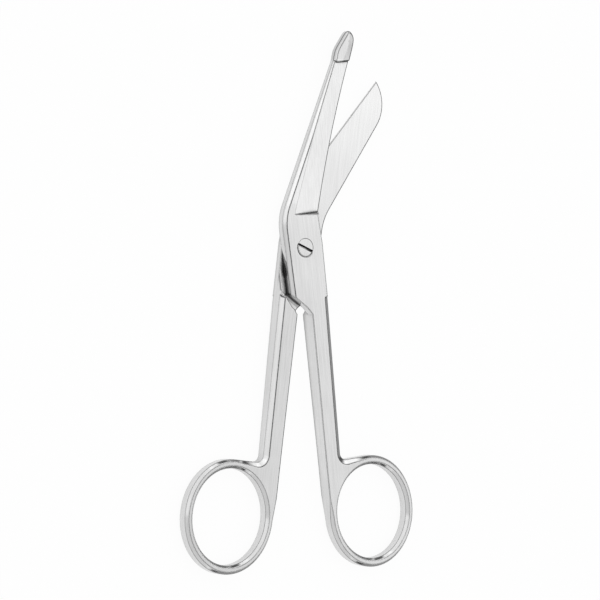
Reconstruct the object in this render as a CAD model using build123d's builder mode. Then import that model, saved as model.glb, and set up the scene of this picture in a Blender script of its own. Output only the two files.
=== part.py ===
from build123d import *
import math
import os

# Bandage scissors, lying open on the back of their joint. Two angled halves cross on one slotted
# screw. The long blade ends in a blunt probe that slides under a dressing, the short one in a point.
# Sizes are in millimetres and angles in degrees. The origin is where the screw's axis meets the
# floor, +Y runs between the handles towards the blades and +Z points up.

# The whole instrument
opening_angle = 14.4                # between the inner edges of the two handles, as they lie
joint_thickness = 5.84              # both halves together at the screw
face_gap = 0.04                     # running gap between the two mating faces
overrun = 3.0                       # how far a cutting shape reaches past the steel

# Joint: the plate of one half, which turns on the mating face of the other
handle_side = 7.55                  # from the screw to the outer edge of the half's own handle
shoulder_height = 1.0               # above the screw that edge leans in towards the blade
head_side = 6.82                    # and is this far out at its end, beside the ground step
head_height = 10.47
foot_side = 7.15                    # from the screw to the spine side, at the foot of the plate
foot_drop = 15.0
bend_side = 8.1                     # the same, where the blade bends away
bend_height = 10.85
knee_side = 1.6                     # the slanted foot runs to this knee, and on to the crotch
knee_drop = 20.0
crotch_drop = 22.5

# Handle: shank and finger ring, forged as one with the plate
inner_side = 0.3                    # from the closing line to the shank's inner edge
shank_side = 6.75                   # from the closing line to its outer edge, at the ring
ring_thickness = 4.9
taper_start = 18.0                  # the handle thins from here below the screw to the ring's neck
ring_hole_width = 28.7
ring_hole_length = 31.9
ring_wall = 2.95
ring_drop = 91.56                   # the ring's centre, below the screw
neck_radius = 2.4

# Bevels of the handle
outer_bevel_width = 1.67
ring_bevel_width = 0.85
bevel_depth = 0.95
bevel_start = 14.8                  # the outer bevel runs out here, in a scallop
scallop_radius = 2.6
plate_bevel_width = 0.5             # along the joint plate, up to the ground step
fade_side = 1.1                     # the ring's bevel runs out along the inner edge, over this much
fade_length = 10.0

# Shoulder: the handle's full thickness, milled away along the other half's outline
stop_side = 2.1                     # the stop face runs from here to the crotch
stop_drop = 20.4
side_clearance = 0.06
foot_clearance = 0.3
shoulder_draft = 5.8                # the milled wall leans away from the other half
tongue_drop = 5.2                   # a thin tongue of it rises beside the plate to here

# Blades
step_height = 11.3                  # above the screw a step leads down to the ground face
step_lean = 0.95                    # and leans back by this much above the cutting edge
spine_lean = 29.1                   # the spines turn away from the handles by this angle
bend_radius = 17.0
spine_bevel_width = 1.33
spine_bevel_depth = 0.72
blade_taper_start = 15.0            # the blades thin from here to the probe
edge_thickness = 0.3

# Long blade and its probe
long_edge_side = 8.3                # the cutting edge at the ground step
long_edge_end_side = 26.8           # and where the probe begins
long_edge_end = 60.4
long_edge_bow = 1.0                 # it bows in this far between the two
long_ground_slope = 13.0            # the ground face falls this steeply from spine to edge
probe_end = 70.4                    # above the screw
probe_thickness = 2.2
probe_round = 1.0
probe_rim_round = 0.8
probe_ground_width = 3.4            # the probe's edge side is ground off to this width and depth
probe_ground_depth = 1.1
probe_ground_spare = 0.86450        # along an arc that starts this far beside its widest place
probe_ground_radius = 18.6
probe_ground_angle = 90.0           # far enough round to pass the probe's start
# Places round the probe from spine to edge, as shares of its width at the blade and its length
probe_shares = [
    (0.15, 0.30), (0.66, 0.79), (1.04, 1.0), (1.27, 0.90), (1.36, 0.73), (1.31, 0.55), (1.20, 0.35)
]

# Short blade
short_edge_side = 6.7               # the cutting edge beside the joint
short_edge_start = 15.5
short_tip_side = 23.6
short_tip = 60.3
short_spine_end_side = 25.9         # the spine curves to the point from here
short_spine_end = 45.7
short_ground_slope = 9.6

# Screw
screw_radius = 2.0
screw_clearance = 0.04
head_radius = 3.1
head_clearance = 0.06
head_depth = 1.5
slot_width = 0.75
slot_depth = 0.8
slot_angle = -22.4
screw_edge_break = 0.12

# Each half is drawn in its own frame: the mating plane is its XY plane, the screw is at its origin,
# its handle runs down -Y on the +X side, and its joint plate and blade stand above the plane.
# The back half's frame is turned over, so the same outlines serve both.
half_thickness = joint_thickness / 2
plate_bottom = face_gap / 2
ring_half = ring_thickness / 2
ring_hole_half = ring_hole_width / 2
ring_hole_rise = ring_hole_length / 2
ring_top = ring_drop - ring_hole_rise - ring_wall
ring_side = inner_side + ring_wall + ring_hole_half
long_spine_end_side = (long_edge_end - bend_height) * math.tan(math.radians(spine_lean)) - bend_side
probe_width = long_edge_end_side - long_spine_end_side
probe_length = probe_end - long_edge_end
probe_side = long_spine_end_side + probe_width * max(across for across, along in probe_shares)
probe_tip_round = probe_width / 3 * (probe_width / probe_length) ** 2
reach = probe_end + ring_drop       # longer than either half from the screw
short_edge_run = (short_tip_side + short_edge_side) / (short_tip - short_edge_start)
short_ground_side = short_edge_side + (short_edge_start - step_height) * short_edge_run
front_frame = Plane(
    origin=(0, 0, half_thickness),
    x_dir=Vector(1, 0, 0).rotate(Axis.Z, opening_angle / 2),
    z_dir=(0, 0, 1),
)
back_frame = Plane(
    origin=(0, 0, half_thickness),
    x_dir=Vector(-1, 0, 0).rotate(Axis.Z, -opening_angle / 2),
    z_dir=(0, 0, -1),
)

# Places on the outlines, in a half's own frame
outer_start = Vector(handle_side, -taper_start)
outer_corner = Vector(shank_side, -ring_top)
outer_line = (outer_corner - outer_start).normalized()
neck_turn = math.atan2(-outer_line.Y, outer_line.X)
neck_run = neck_radius * math.tan(neck_turn / 2)
neck_start = outer_corner - outer_line * neck_run
neck_end = outer_corner + Vector(neck_run, 0)
ring_start = Vector(ring_side, -ring_top)
head = Vector(head_side, head_height)
foot = Vector(-foot_side, -foot_drop)
bend = Vector(-bend_side, bend_height)
short_spine_lean = math.degrees(
    math.atan2(short_spine_end_side - bend_side, short_spine_end - bend_height)
)


def placed(frame, plane):
    """A plane given in a half's own frame, placed in the whole instrument."""
    return Plane(frame.location * plane.location)


def in_whole(frame, step):
    """A step in a half's own frame, as a step in the whole instrument."""
    return frame.x_dir * step.X + frame.y_dir * step.Y + frame.z_dir * step.Z


def ring_outline(frame):
    """The finger ring by itself."""
    with BuildSketch(frame) as outline:
        with Locations((ring_side, -ring_drop)):
            Ellipse(ring_hole_half + ring_wall, ring_hole_rise + ring_wall)
            Ellipse(ring_hole_half, ring_hole_rise, mode=Mode.SUBTRACT)
    return outline.sketch


def shank_outline(frame):
    """Shank and web, from the crotch to the ring, with the tongue up the outer edge."""
    with BuildSketch(frame) as outline:
        with BuildLine():
            Polyline(
                (inner_side, -crotch_drop),
                (stop_side, -stop_drop),
                (stop_side, -tongue_drop),
                (handle_side, -tongue_drop),
                (handle_side, -taper_start),
                (shank_side, -ring_top),
                (ring_side, -ring_top),
                (ring_side, -ring_drop),
                (inner_side, -ring_drop),
                close=True,
            )
        make_face()
        fillet(outline.vertices().sort_by_distance(outer_corner)[0], radius=neck_radius)
        with Locations((ring_side, -ring_drop)):
            middle = ring_wall / 2
            Ellipse(ring_hole_half + middle, ring_hole_rise + middle, mode=Mode.SUBTRACT)
    return outline.sketch


def plate_outline(frame, blade):
    """Joint plate and blade in one: the blade's own line runs from the bend to the step."""
    with BuildSketch(placed(frame, Plane.XY.offset(plate_bottom))) as outline:
        with BuildLine():
            blade()
            Polyline(
                (head.X, head.Y),
                (handle_side, shoulder_height),
                (handle_side, -taper_start),
                (inner_side, -crotch_drop),
                (-knee_side, -knee_drop),
                (-foot_side, -foot_drop),
                (-bend_side, bend_height),
            )
        make_face()
        fillet(outline.vertices().sort_by_distance(bend)[0], radius=bend_radius)
    return outline.sketch


def long_blade():
    """Spine and cutting edge of the long blade, which leans over its own handle."""
    edge_start = Vector(long_edge_side, step_height)
    edge_end = Vector(long_edge_end_side, long_edge_end)
    edge_run = edge_end - edge_start
    bow = Vector(-edge_run.Y, edge_run.X).normalized() * long_edge_bow
    Polyline((-bend_side, bend_height), (long_spine_end_side, long_edge_end), edge_end)
    ThreePointArc(edge_end, edge_start + edge_run / 2 + bow, edge_start)
    Line(edge_start, (head.X, head.Y))


def short_blade():
    """Spine, point and cutting edge of the short blade, which leans away from its own handle."""
    spine = Line((-bend_side, bend_height), (-short_spine_end_side, short_spine_end))
    TangentArc((-short_spine_end_side, short_spine_end), (-short_tip_side, short_tip), tangent=spine % 1)
    Polyline(
        (-short_tip_side, short_tip),
        (short_edge_side, short_edge_start),
        (head.X, head.Y),
    )


def probe_outline(frame):
    """The blunt probe at the long blade's end."""
    first = Vector(long_spine_end_side, long_edge_end)
    last = Vector(long_edge_end_side, long_edge_end)
    rim = [first + Vector(probe_width * across, probe_length * along) for across, along in probe_shares]
    lean = math.radians(spine_lean)
    with BuildSketch(placed(frame, Plane.XY.offset(plate_bottom))) as outline:
        with BuildLine():
            Spline(
                first,
                *rim,
                last,
                tangents=[Vector(math.sin(lean), math.cos(lean)), (last - rim[-1]).normalized()],
            )
            Line(last, first)
        make_face()
    return outline.sketch


def shoulder_recess(frame):
    """The room milled in a half's handle for the other half's plate, as closed, mouth side up."""
    turned = placed(frame, Plane((0, 0, plate_bottom), x_dir=(-1, 0, 0), z_dir=(0, 0, -1)))
    with BuildSketch(turned) as outline:
        with BuildLine():
            Polyline(
                (-foot_side - side_clearance, -foot_drop - foot_clearance),
                (-stop_side, -stop_drop),
                (stop_side, -stop_drop),
                (stop_side, bend_height),
                (-bend_side - side_clearance, bend_height),
                close=True,
            )
        make_face()
    return outline.sketch


def side_profile(frame, start, end, level, side):
    """What is cut away above a slope seen from the side, from full thickness down to a level."""
    beyond = math.copysign(reach, end)
    with BuildSketch(placed(frame, Plane.YZ)) as profile:
        with BuildLine():
            Polyline(
                (start, side * half_thickness),
                (end, side * level),
                (beyond, side * level),
                (beyond, side * (half_thickness + overrun)),
                (start, side * (half_thickness + overrun)),
                close=True,
            )
        make_face()
    return profile.sketch


def outer_bevel(frame, side):
    """The wide bevel along the shank's outer edge, drawn on the bevel's own plane."""
    start = outer_start + Vector(-outer_bevel_width, 0, side * half_thickness)
    end = neck_start + Vector(-outer_bevel_width, 0, side * ring_half)
    wall = Vector(outer_bevel_width, 0, -side * bevel_depth)
    along = (end - start).normalized()
    bevel_plane = Plane(start, x_dir=along, z_dir=along.cross(wall) * side)
    run_out = bevel_start - taper_start
    length = (end - start).length - run_out
    with BuildSketch(placed(frame, bevel_plane)) as bevel:
        with Locations((run_out, 0)):
            Rectangle(length, 2 * overrun, align=(Align.MIN, Align.CENTER))
            Circle(scallop_radius, mode=Mode.SUBTRACT)
    return bevel.sketch


def bevel_end(frame, side, place, heading, width, depth):
    """The wedge that a bevel takes off, seen along its heading, with the steel on its right."""
    outward = Vector(-heading.Y, heading.X).normalized()
    level = heading - Vector(0, 0, heading.Z)
    across = Plane(place, x_dir=outward, z_dir=level * side)
    spare = width / 2
    rise = spare * depth / width
    with BuildSketch(placed(frame, across)) as wedge:
        with BuildLine():
            Polyline(
                (-width - spare, rise),
                (spare, -depth - rise),
                (spare, rise),
                close=True,
            )
        make_face()
    return wedge.sketch


def run_bevel(frame, side, start, end, width, depth):
    """Cut a straight bevel along an edge, from one place on it to another."""
    wedge = bevel_end(frame, side, start, end - start, width, depth)
    along = in_whole(frame, end - start)
    extrude(wedge, amount=along.length, dir=along.normalized(), mode=Mode.SUBTRACT)


def turn_bevel(frame, side, place, heading, radius, angle, width, depth):
    """Cut a bevel round a bend, which turns right by an angle, or left by a negative one."""
    wedge = bevel_end(frame, side, place, heading, width, depth)
    inward = Vector(heading.Y, -heading.X).normalized() * math.copysign(radius, angle)
    middle = frame.from_local_coords(place + inward)
    revolve(wedge, axis=Axis(middle, frame.z_dir), revolution_arc=-angle, mode=Mode.SUBTRACT)


def ground_face(frame, edge_side, slope, lean):
    """The wedge ground off a blade, cut across at the step by a face that may lean back."""
    depth = half_thickness - edge_thickness
    ridge = Vector(edge_side - depth / math.tan(math.radians(slope)), step_height, half_thickness)
    edge = Vector(edge_side, step_height, edge_thickness)
    brink = Vector(edge_side, step_height - lean, half_thickness)
    fall = (edge - ridge).normalized() * overrun
    across = Plane(ridge, x_dir=fall, z_dir=fall.cross(brink - ridge))
    corners = [ridge - fall, edge + fall, edge + fall + (brink - edge) * 2]
    with BuildSketch(placed(frame, across)) as wedge:
        with BuildLine():
            Polyline(*[across.to_local_coords(corner) for corner in corners], close=True)
        make_face()
    return wedge.sketch


def forge_ring(half, frame):
    """The finger ring, with a bevel on all four of its rims."""
    extrude(ring_outline(frame), amount=ring_half, both=True)
    for crown in (half.faces().sort_by(Axis.Z)[-1], half.faces().sort_by(Axis.Z)[0]):
        chamfer(crown.edges(), length=ring_bevel_width, length2=bevel_depth, reference=crown)


def forge_half(half, frame, blade):
    """Ring, shank, joint plate and blade blank, with the room for the other half milled out."""
    forge_ring(half, frame)
    extrude(shank_outline(frame), amount=half_thickness, both=True)
    extrude(
        shoulder_recess(frame),
        amount=half_thickness + overrun,
        taper=-shoulder_draft,
        mode=Mode.SUBTRACT,
    )
    extrude(plate_outline(frame, blade), amount=half_thickness - plate_bottom)
    for side in (1, -1):
        extrude(
            side_profile(frame, -taper_start, neck_start.Y, ring_half, side),
            amount=reach,
            both=True,
            mode=Mode.SUBTRACT,
        )
    extrude(
        side_profile(frame, blade_taper_start, long_edge_end, probe_thickness, 1),
        amount=reach,
        both=True,
        mode=Mode.SUBTRACT,
    )


def bevel_handle(frame, side):
    """The bevels of shank, neck and ring on one side of a half."""
    crown = Vector(0, 0, side * ring_half)
    extrude(outer_bevel(frame, side), amount=overrun, mode=Mode.SUBTRACT)
    turn_bevel(
        frame,
        side,
        neck_start + crown,
        outer_line,
        neck_radius,
        -math.degrees(neck_turn),
        outer_bevel_width,
        bevel_depth,
    )
    loft(
        [
            bevel_end(frame, side, neck_end + crown, Vector(1, 0), outer_bevel_width, bevel_depth),
            bevel_end(frame, side, ring_start + crown, Vector(1, 0), ring_bevel_width, bevel_depth),
        ],
        ruled=True,
        mode=Mode.SUBTRACT,
    )
    fade_start = Vector(inner_side, -ring_drop) + crown
    fade = in_whole(frame, Vector(-fade_side, fade_length))
    wedge = bevel_end(frame, side, fade_start, Vector(0, 1), ring_bevel_width, bevel_depth)
    extrude(wedge, amount=fade.length, dir=fade.normalized(), mode=Mode.SUBTRACT)


def bevel_plate(frame, lean, end_height):
    """The bevels of plate and blade: along the spine, round the bend, and by the handle's side."""
    top = Vector(0, 0, half_thickness)
    heading = (bend - foot).normalized()
    onward = Vector(math.sin(math.radians(lean)), math.cos(math.radians(lean)))
    turn = lean - math.degrees(math.atan2(heading.X, heading.Y))
    run = bend_radius * math.tan(math.radians(abs(turn)) / 2)
    size = (spine_bevel_width, spine_bevel_depth)
    run_bevel(frame, 1, foot - heading * overrun + top, bend - heading * run + top, *size)
    turn_bevel(frame, 1, bend - heading * run + top, heading, bend_radius, turn, *size)
    fall = Vector(0, 0, (probe_thickness - half_thickness) / (long_edge_end - blade_taper_start))
    spine_start = bend + onward * run + top
    spine_start += fall * max(0, spine_start.Y - blade_taper_start)
    past_end = spine_bevel_width * abs(onward.X)
    spine_run = (end_height + past_end - spine_start.Y) / onward.Y
    spine_end = spine_start + (onward + fall * onward.Y) * spine_run
    run_bevel(frame, 1, spine_start, spine_end, *size)
    shoulder = Vector(handle_side, shoulder_height) + top
    run_bevel(frame, 1, head + top, shoulder, plate_bevel_width, bevel_depth)
    run_bevel(frame, 1, shoulder, outer_start + top, plate_bevel_width, bevel_depth)


def grind(frame, edge_side, end_side, end_height, slope):
    """Grind a blade along its edge, from the ground step to its end."""
    along = in_whole(frame, Vector(end_side - edge_side, end_height - step_height))
    for lean, length in ((step_lean, overrun), (0, along.length)):
        extrude(
            ground_face(frame, edge_side, slope, lean),
            amount=length,
            dir=along.normalized(),
            mode=Mode.SUBTRACT,
        )


with BuildPart() as front_half:
    extrude(probe_outline(front_frame), amount=probe_thickness - plate_bottom)
    probe_top = front_half.faces().sort_by(Axis.Z)[-1]
    probe_edge = probe_top.edges().filter_by(GeomType.LINE, reverse=True)
    fillet(probe_edge, radius=min(probe_round, probe_tip_round))
    turn_bevel(
        front_frame,
        1,
        Vector(probe_side + probe_ground_spare, probe_end, probe_thickness),
        Vector(0, -1),
        probe_ground_radius,
        probe_ground_angle,
        probe_ground_width,
        probe_ground_depth,
    )
    probe_ground = front_half.faces().filter_by(GeomType.CONE)[0]
    probe_rim = probe_ground.edges().filter_by(GeomType.CIRCLE, reverse=True).sort_by(SortBy.LENGTH)[-1]
    fillet(probe_rim, radius=min(probe_rim_round, probe_tip_round * 2 / 3))
    forge_half(front_half, front_frame, long_blade)
    bevel_handle(front_frame, 1)
    bevel_handle(front_frame, -1)
    bevel_plate(front_frame, spine_lean, long_edge_end)
    grind(front_frame, long_edge_side, long_edge_end_side, long_edge_end, long_ground_slope)
    with BuildSketch(Plane.XY):
        Circle(screw_radius + screw_clearance)
    extrude(amount=joint_thickness, mode=Mode.SUBTRACT)
    with BuildSketch(Plane.XY.offset(joint_thickness)):
        Circle(head_radius + head_clearance)
    extrude(amount=-head_depth - face_gap, mode=Mode.SUBTRACT)

with BuildPart() as back_half:
    forge_half(back_half, back_frame, short_blade)
    bevel_handle(back_frame, 1)
    bevel_handle(back_frame, -1)
    bevel_plate(back_frame, -short_spine_lean, short_tip)
    grind(back_frame, short_ground_side, -short_tip_side, short_tip, short_ground_slope)
    with BuildSketch(Plane.XY):
        Circle(screw_radius)
    extrude(amount=joint_thickness, mode=Mode.SUBTRACT)

with BuildPart() as screw:
    with BuildSketch(Plane.XY):
        Circle(screw_radius)
    extrude(amount=joint_thickness)
    with BuildSketch(Plane.XY.offset(joint_thickness)):
        Circle(head_radius)
    extrude(amount=-head_depth)
    chamfer(screw.faces().sort_by(Axis.Z)[-1].edges(), length=screw_edge_break)
    slot_line = Vector(1, 0, 0).rotate(Axis.Z, slot_angle)
    with BuildSketch(Plane((0, 0, joint_thickness), x_dir=slot_line, z_dir=(0, 0, 1))):
        Rectangle(2 * head_radius + overrun, slot_width)
    extrude(amount=-slot_depth, mode=Mode.SUBTRACT)

front_half.part.label = "front_half"
back_half.part.label = "back_half"
screw.part.label = "screw"
os.makedirs("parts", exist_ok=True)
export_step(front_half.part, "parts/front_half.step")
export_step(back_half.part, "parts/back_half.step")
export_step(screw.part, "parts/screw.step")
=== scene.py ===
import math

import bpy
from mathutils import Matrix, Vector

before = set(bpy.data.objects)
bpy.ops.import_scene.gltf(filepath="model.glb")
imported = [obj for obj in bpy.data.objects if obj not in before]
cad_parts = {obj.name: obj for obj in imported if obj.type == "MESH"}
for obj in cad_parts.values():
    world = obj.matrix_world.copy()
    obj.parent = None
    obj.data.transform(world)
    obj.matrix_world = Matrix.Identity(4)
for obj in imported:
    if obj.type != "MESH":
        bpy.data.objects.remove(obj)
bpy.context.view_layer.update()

# Front half, which lies on top: ring, shank, joint plate and the long blade with its blunt probe.
# One forging of stainless steel, ground to shape and brushed to a fine satin. The wheel rounds
# its edges, and each shows a thin painted dark line, painted shade for the dark the rounding
# reflects.


class Reading:
    """One value read on a surface. Sums with it add the Math nodes that work them out."""

    def __init__(self, finish, socket):
        self.finish = finish
        self.socket = socket

    def work(self, operation, first, second):
        return self.finish.add("ShaderNodeMath", {"operation": operation}, {0: first, 1: second})

    def __add__(self, other):
        return self.work("ADD", self, other)

    def __radd__(self, other):
        return self.work("ADD", other, self)

    def __sub__(self, other):
        return self.work("SUBTRACT", self, other)

    def __rsub__(self, other):
        return self.work("SUBTRACT", other, self)

    def __mul__(self, other):
        return self.work("MULTIPLY", self, other)

    def __rmul__(self, other):
        return self.work("MULTIPLY", other, self)

    def __truediv__(self, other):
        return self.work("DIVIDE", self, other)

    def __rtruediv__(self, other):
        return self.work("DIVIDE", other, self)

    def __pow__(self, other):
        return self.work("POWER", self, other)

    def __rpow__(self, other):
        return self.work("POWER", other, self)

    def floor_at(self, low):
        return self.work("MAXIMUM", self, low)

    def cap_at(self, high):
        return self.work("MINIMUM", self, high)

    def fade(self, start, end):
        """0 as far as the start, growing to 1 at the end, whichever way that lies."""
        return ((self - start) / (end - start)).floor_at(0.0).cap_at(1.0)


class Finish:
    """A finish as a tree of nodes, for a material or for the light all round."""

    def __init__(self, owner):
        owner.use_nodes = True
        self.owner = owner
        self.tree = owner.node_tree
        self.tree.nodes.clear()

    def add(self, kind, settings, sockets, output=0):
        """Add a node: its settings first, then what its sockets hold or are linked to."""
        node = self.tree.nodes.new(kind)
        stops = settings.pop("stops", None)
        for name, value in settings.items():
            setattr(node, name, value)
        if stops:
            ramp = node.color_ramp
            while len(ramp.elements) < len(stops):
                ramp.elements.new(1.0)
            for element, (place, shade) in zip(ramp.elements, stops):
                element.position = place
                element.color = (shade, shade, shade, 1)
        for name, value in sockets.items():
            taker = next(
                s for i, s in enumerate(node.inputs) if s.enabled and name in (i, s.name)
            )
            if isinstance(value, Reading):
                self.tree.links.new(value.socket, taker)
            else:
                taker.default_value = value
        return Reading(self, node.outputs[output]) if node.outputs else None

    def reach(self, vector, axis):
        """How far a vector reaches along X, Y or Z."""
        return self.add("ShaderNodeSeparateXYZ", {}, {"Vector": vector}, axis)

    def stretch(self, vector, times):
        """A vector made longer or shorter along X, Y and Z."""
        return self.add("ShaderNodeVectorMath", {"operation": "MULTIPLY"}, {0: vector, 1: times})

    def uneven(self, place, fineness, detail, roughness=0.5):
        """Noise that swings above and below nought."""
        noise = self.add(
            "ShaderNodeTexNoise",
            {},
            {"Vector": place, "Scale": fineness, "Detail": detail, "Roughness": roughness},
        )
        return noise - 0.5


# Greys of the brushed steel, and the black that its painted shade and its darker probe go towards
dark_steel = (0.688, 0.688, 0.688, 1)
pale_steel = (0.8428, 0.8428, 0.8428, 1)
shade_black = (0.004, 0.004, 0.004, 1)

# The brush's marks: how they are drawn out, how fine they are and how strongly they show
scratch_stretch = (9.0, 0.35, 9.0)
streak_stretch = (2.8, 0.08, 2.8)
grain_fineness = 900.0
cloud_fineness = 60.0
grit_fineness = 5200.0
scratch_share = 0.4
streak_share = 1.3
cloud_share = 0.9
scratch_roughness = 0.08
cloud_roughness = 0.06
scratch_relief = 0.7
grit_relief = 0.3
relief_strength = 0.10
relief_depth = 0.00002

# Lengths are in metres. A pair is where something starts to show and where it shows in full.
nook_distance = 0.0026
corner_distance = 0.0018
edge_radius = 0.0006
upper_plate = (0.0022, 0.0028)
round_screw = (0.0045, 0.0039)
shaded_rim_start = (0.0, 0.0008)
step_foot = (0.0080, 0.0086)
step_top = (0.0138, 0.0132)
probe_neck = (0.0632, 0.0636)

# Which side of the screw's head keeps its rounded rim and the rim's painted dark line
shaded_rim_side = (-0.47, -0.88, 0.0)

# How level a face lies, from 0 on a wall to 1 on a flat top
wall_lean = (0.92, 0.84)
step_past_wall = (0.25, 0.35)
step_past_top = (0.82, 0.74)
ridge_past_wall = (0.78, 0.88)
ridge_past_top = (0.997, 0.985)

# How far a face is turned over at its edge, and how open a nook or a corner is
ridge_turn = (0.035, 0.1183)
sharp_turn = (0.25, 0.3333)
faint_growth = 1.3
open_nook = 0.85
open_corner = (0.52, 0.88)
flat_corner_depth = 0.5
wall_corner_depth = 3.5

# How dark each painted shade and the probe get, and how far the probe is polished
ridge_shade = 0.97
faint_shade = 0.25
step_shade = 0.96
probe_darkness = 0.16
probe_polish = 0.4


def satin_steel(name, grain_turn, sheen, shut_in):
    """Brushed stainless steel, its grain turned by an angle to run along a piece.

    Sheen is its roughness, and shut_in how much darker the painted shade in nooks gets at the upper
    plate's walls. Its colour carries painted shade in nooks, corners, along edges and on the step.
    """
    steel = Finish(bpy.data.materials.new(name))
    place = steel.add("ShaderNodeTexCoord", {}, {}, "Object")
    along = steel.reach(place, "Y")
    flat = steel.add("ShaderNodeNewGeometry", {}, {}, "Normal")
    level = steel.reach(flat, "Z")
    steep = level.fade(*wall_lean)

    # The brush leaves fine scratches and long streaks in a slightly cloudy grey.
    turned = steel.add(
        "ShaderNodeVectorRotate",
        {"rotation_type": "Z_AXIS"},
        {"Vector": place, "Angle": grain_turn},
    )
    scratches = steel.uneven(steel.stretch(turned, scratch_stretch), grain_fineness, 4.0, 0.6)
    streaks = steel.uneven(steel.stretch(turned, streak_stretch), grain_fineness, 3.0)
    clouds = steel.uneven(place, cloud_fineness, 3.0)
    grit = steel.uneven(place, grit_fineness, 2.0)
    marks = clouds * cloud_share + streaks * streak_share + scratches * scratch_share
    brushed = steel.add(
        "ShaderNodeMix",
        {"data_type": "RGBA"},
        {"Factor": (marks + 0.5).floor_at(0.0).cap_at(1.0), "A": dark_steel, "B": pale_steel},
        2,
    )

    # Nooks and inner corners are painted dark, as painted shade, most of all at the walls of the
    # upper plate.
    nook = steel.add(
        "ShaderNodeAmbientOcclusion", {"samples": 8}, {"Distance": nook_distance}, "AO"
    )
    upper_wall = steel.reach(place, "Z").fade(*upper_plate) * steep
    in_the_open = (nook.cap_at(open_nook) / open_nook) ** (1.0 + upper_wall * shut_in)
    corner = steel.add(
        "ShaderNodeAmbientOcclusion",
        {"samples": 8, "only_local": True},
        {"Distance": corner_distance},
        "AO",
    )
    corner_depth = flat_corner_depth + steep * wall_corner_depth
    clear_of_corner = corner.fade(*open_corner) ** corner_depth

    # Round the upper right of the screw's head the rim is left sharp, without its rounding and
    #     without its painted dark line; round the lower left it keeps both.
    from_axis = steel.add(
        "ShaderNodeVectorMath",
        {"operation": "LENGTH"},
        {0: steel.stretch(place, (1.0, 1.0, 0.0))},
        "Value",
    )
    to_shaded_rim_side = steel.add(
        "ShaderNodeVectorMath", {"operation": "DOT_PRODUCT"}, {0: place, 1: shaded_rim_side}, "Value"
    )
    rim_left_sharp = from_axis.fade(*round_screw) * (1 - to_shaded_rim_side.fade(*shaded_rim_start))

    # The wheel rounds each edge. A blunt ridge gets a dark line, any other a faint one: painted
    #     shade for the dark that the rounding reflects.
    turned_over = steel.add("ShaderNodeBevel", {"samples": 16}, {"Radius": edge_radius})
    rounded = steel.add(
        "ShaderNodeMix",
        {"data_type": "VECTOR"},
        {"Factor": rim_left_sharp, "A": turned_over, "B": flat},
        1,
    )
    edge = steel.add(
        "ShaderNodeVectorMath", {"operation": "DISTANCE"}, {0: rounded, 1: flat}, "Value"
    )
    facing_up = steel.reach(rounded, "Z")
    nearly_level = facing_up.fade(*ridge_past_wall) * facing_up.fade(*ridge_past_top)
    blunt = 1 - edge.fade(*sharp_turn)
    ridge = edge.fade(*ridge_turn) * nearly_level * blunt * ridge_shade
    edge_shade = ridge.floor_at((edge * faint_growth).cap_at(1.0) * faint_shade)

    # The leaning face of the ground step is painted dark, painted shade for the dark it reflects.
    leaning = level.fade(*step_past_wall) * level.fade(*step_past_top)
    shaded_step = along.fade(*step_foot) * along.fade(*step_top) * leaning

    # The probe is polished, so that it slides under a dressing.
    probe = along.fade(*probe_neck)

    # The painted shade of nooks, corners, edges and step takes the colour towards black, and the
    # probe is a little darker.
    bare = in_the_open * clear_of_corner * (1 - edge_shade) * (1 - shaded_step * step_shade)
    colour = steel.add(
        "ShaderNodeMix",
        {"data_type": "RGBA"},
        {"Factor": bare * (1 - probe * probe_darkness), "A": shade_black, "B": brushed},
        2,
    )
    rough = sheen + (clouds + streaks) * cloud_roughness + scratches * scratch_roughness
    height = scratches * scratch_relief + grit * grit_relief
    normal = steel.add(
        "ShaderNodeBump",
        {},
        {
            "Strength": relief_strength,
            "Distance": relief_depth,
            "Height": height,
            "Normal": rounded,
        },
    )
    shader = steel.add(
        "ShaderNodeBsdfPrincipled",
        {},
        {
            "Base Color": colour,
            "Metallic": 1.0,
            "Roughness": rough * (1 - probe * probe_polish),
            "Normal": normal,
        },
    )
    steel.add("ShaderNodeOutputMaterial", {}, {"Surface": shader})
    return steel.owner


def clad(node, material):
    """Give a piece one finish all over."""
    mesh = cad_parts[node].data
    mesh.materials.clear()
    mesh.materials.append(material)


front_turn = math.radians(-7.2)
forged_sheen = 0.12
clad("front_half", satin_steel("front_half_satin", front_turn, forged_sheen, shut_in=9.0))

# Back half, which lies underneath: ring, shank, joint plate and the short pointed blade.
# Forged, ground and brushed in the same way, with its grain along its own handle.

back_turn = math.radians(7.2)
clad("back_half", satin_steel("back_half_satin", back_turn, forged_sheen, shut_in=0.0))

# Joint screw: slotted steel, riveted fast in the back half, its head let into the front half.
# It is ground flush once it is in, so its grain lies askew, and it is a little smoother.

screw_turn = math.radians(20)
screw_sheen = 0.11
clad("screw", satin_steel("screw_satin", screw_turn, screw_sheen, shut_in=0.0))

# Table: a white sheet, which shows white and takes the scissors' soft shadow.
# In the steel it shows a little greyer, and greyer still where it is seen at a low angle.

half_sheet = 3.0
paper_white = (0.93, 0.93, 0.93, 1)
black = (0.0, 0.0, 0.0, 1)
seen_glow = 0.95
mirrored_glow = 0.62
low_angle = (0.30, 0.50)
low_angle_dimming = 0.6

sheet_mesh = bpy.data.meshes.new("white_sheet")
sheet_mesh.from_pydata(
    [
        (-half_sheet, -half_sheet, 0),
        (half_sheet, -half_sheet, 0),
        (half_sheet, half_sheet, 0),
        (-half_sheet, half_sheet, 0),
    ],
    [],
    [(0, 1, 2, 3)],
)
sheet = bpy.data.objects.new("white_sheet", sheet_mesh)
bpy.context.scene.collection.objects.link(sheet)

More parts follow.
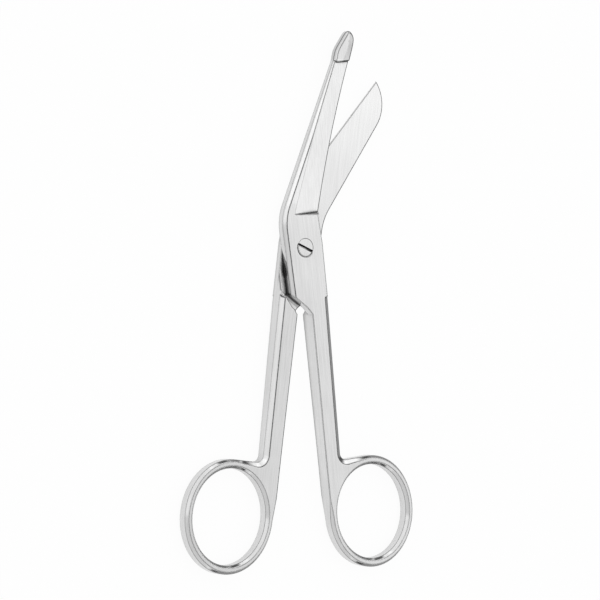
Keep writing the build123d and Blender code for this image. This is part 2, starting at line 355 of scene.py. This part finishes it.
paper = Finish(bpy.data.materials.new("white_paper"))
seen, mirrored, through = (
    paper.add("ShaderNodeLightPath", {}, {}, ray)
    for ray in ("Is Camera Ray", "Is Glossy Ray", "Is Transmission Ray")
)
sidelong = paper.add("ShaderNodeLayerWeight", {}, {"Blend": 0.5}, "Facing")
dim_far_off = sidelong.fade(*low_angle) * mirrored
share = (seen + through).cap_at(1.0) * seen_glow + mirrored * (1 - dim_far_off) * mirrored_glow
white = paper.add("ShaderNodeBsdfDiffuse", {}, {"Color": paper_white})
shade = paper.add("ShaderNodeBsdfDiffuse", {}, {"Color": black})
lit = paper.add("ShaderNodeMixShader", {}, {0: dim_far_off * low_angle_dimming, 1: white, 2: shade})
glow = paper.add("ShaderNodeEmission", {}, {"Color": (1, 1, 1, 1), "Strength": 1.0})
surface = paper.add("ShaderNodeMixShader", {}, {0: share, 1: lit, 2: glow})
paper.add("ShaderNodeOutputMaterial", {}, {"Surface": surface})
sheet_mesh.materials.append(paper.owner)

# Room: wide soft lights all round and overhead, with a dark beam between them.
# It is darker towards the handles' end, and darkest low down on the right.

room_level = 1.625
beam_darkness = 0.55
left_of_dark_wall = (0.86, 0.735)

world = bpy.data.worlds.new("soft_room")
bpy.context.scene.world = world
room = Finish(world)
direction = room.add("ShaderNodeTexCoord", {}, {}, "Generated")
to_x, to_y, to_z = (room.reach(direction, axis) for axis in "XYZ")


def shades(spread, stops):
    """How bright the room is at each stop across a spread."""
    return room.add("ShaderNodeValToRGB", {"stops": stops}, {"Fac": spread})


# From the left wall at 0, over the top at a half, to the right wall at 1
side = room.add("ShaderNodeMath", {"operation": "ARCTAN2"}, {0: to_x, 1: to_z})
across = (side + math.pi / 2) / math.pi
lights = shades(
    across,
    [
        (0.0, 0.60),
        (0.34, 0.62),
        (0.385, 0.64),
        (0.415, 0.84),
        (0.65, 0.62),
        (0.686, 0.68),
        (0.702, 0.76),
        (0.76, 0.82),
        (0.83, 0.87),
        (0.90, 0.85),
        (1.0, 0.77),
    ],
)
beam = shades(across, [(0.53, 0.0), (0.55, 1.0), (0.655, 1.0), (0.676, 0.0)])

# From the handles' end at 0 to the blades' end at 1
end_to_end = to_y * 0.5 + 0.5
beam_run = shades(end_to_end, [(0.27, 0.0), (0.35, 1.0), (0.67, 1.0), (0.75, 0.0)])
ends = shades(
    end_to_end,
    [
        (0.0, 0.74),
        (0.45, 0.74),
        (0.50, 0.78),
        (0.512, 0.80),
        (0.53, 0.97),
        (0.55, 1.0),
        (1.0, 0.95),
    ],
)

# From the floor up, on the right alone
low_down = shades(to_z, [(0.0, 0.04), (0.18, 0.08), (0.38, 1.0)])
horizon = low_down.floor_at(across.fade(*left_of_dark_wall))
brightness = lights * ends * horizon * room_level * (1 - beam * beam_run * beam_darkness)
light = room.add("ShaderNodeBackground", {}, {"Color": brightness, "Strength": 1.0})
room.add("ShaderNodeOutputWorld", {}, {"Surface": light})

# Camera
# It looks down from the left of the handles, 35 degrees off upright and a metre away.

aim = Vector((-0.00010, -0.01743, 0.00292))
turn = Matrix.Rotation(math.radians(0.36), 3, "Z")
tilt = math.radians(35)
right = turn @ Vector((math.cos(tilt), 0, math.sin(tilt)))
up = turn @ Vector((0, 1, 0))
back = right.cross(up)
lens = bpy.data.cameras.new("lens")
lens.lens = 180
lens.sensor_width = 36
lens.clip_start = 0.05
camera = bpy.data.objects.new("camera", lens)
bpy.context.scene.collection.objects.link(camera)
placed = Matrix((right, up, back)).transposed().to_4x4()
placed.translation = aim + back
camera.matrix_world = placed
bpy.context.scene.camera = camera
bpy.context.scene.view_settings.view_transform = "Standard"
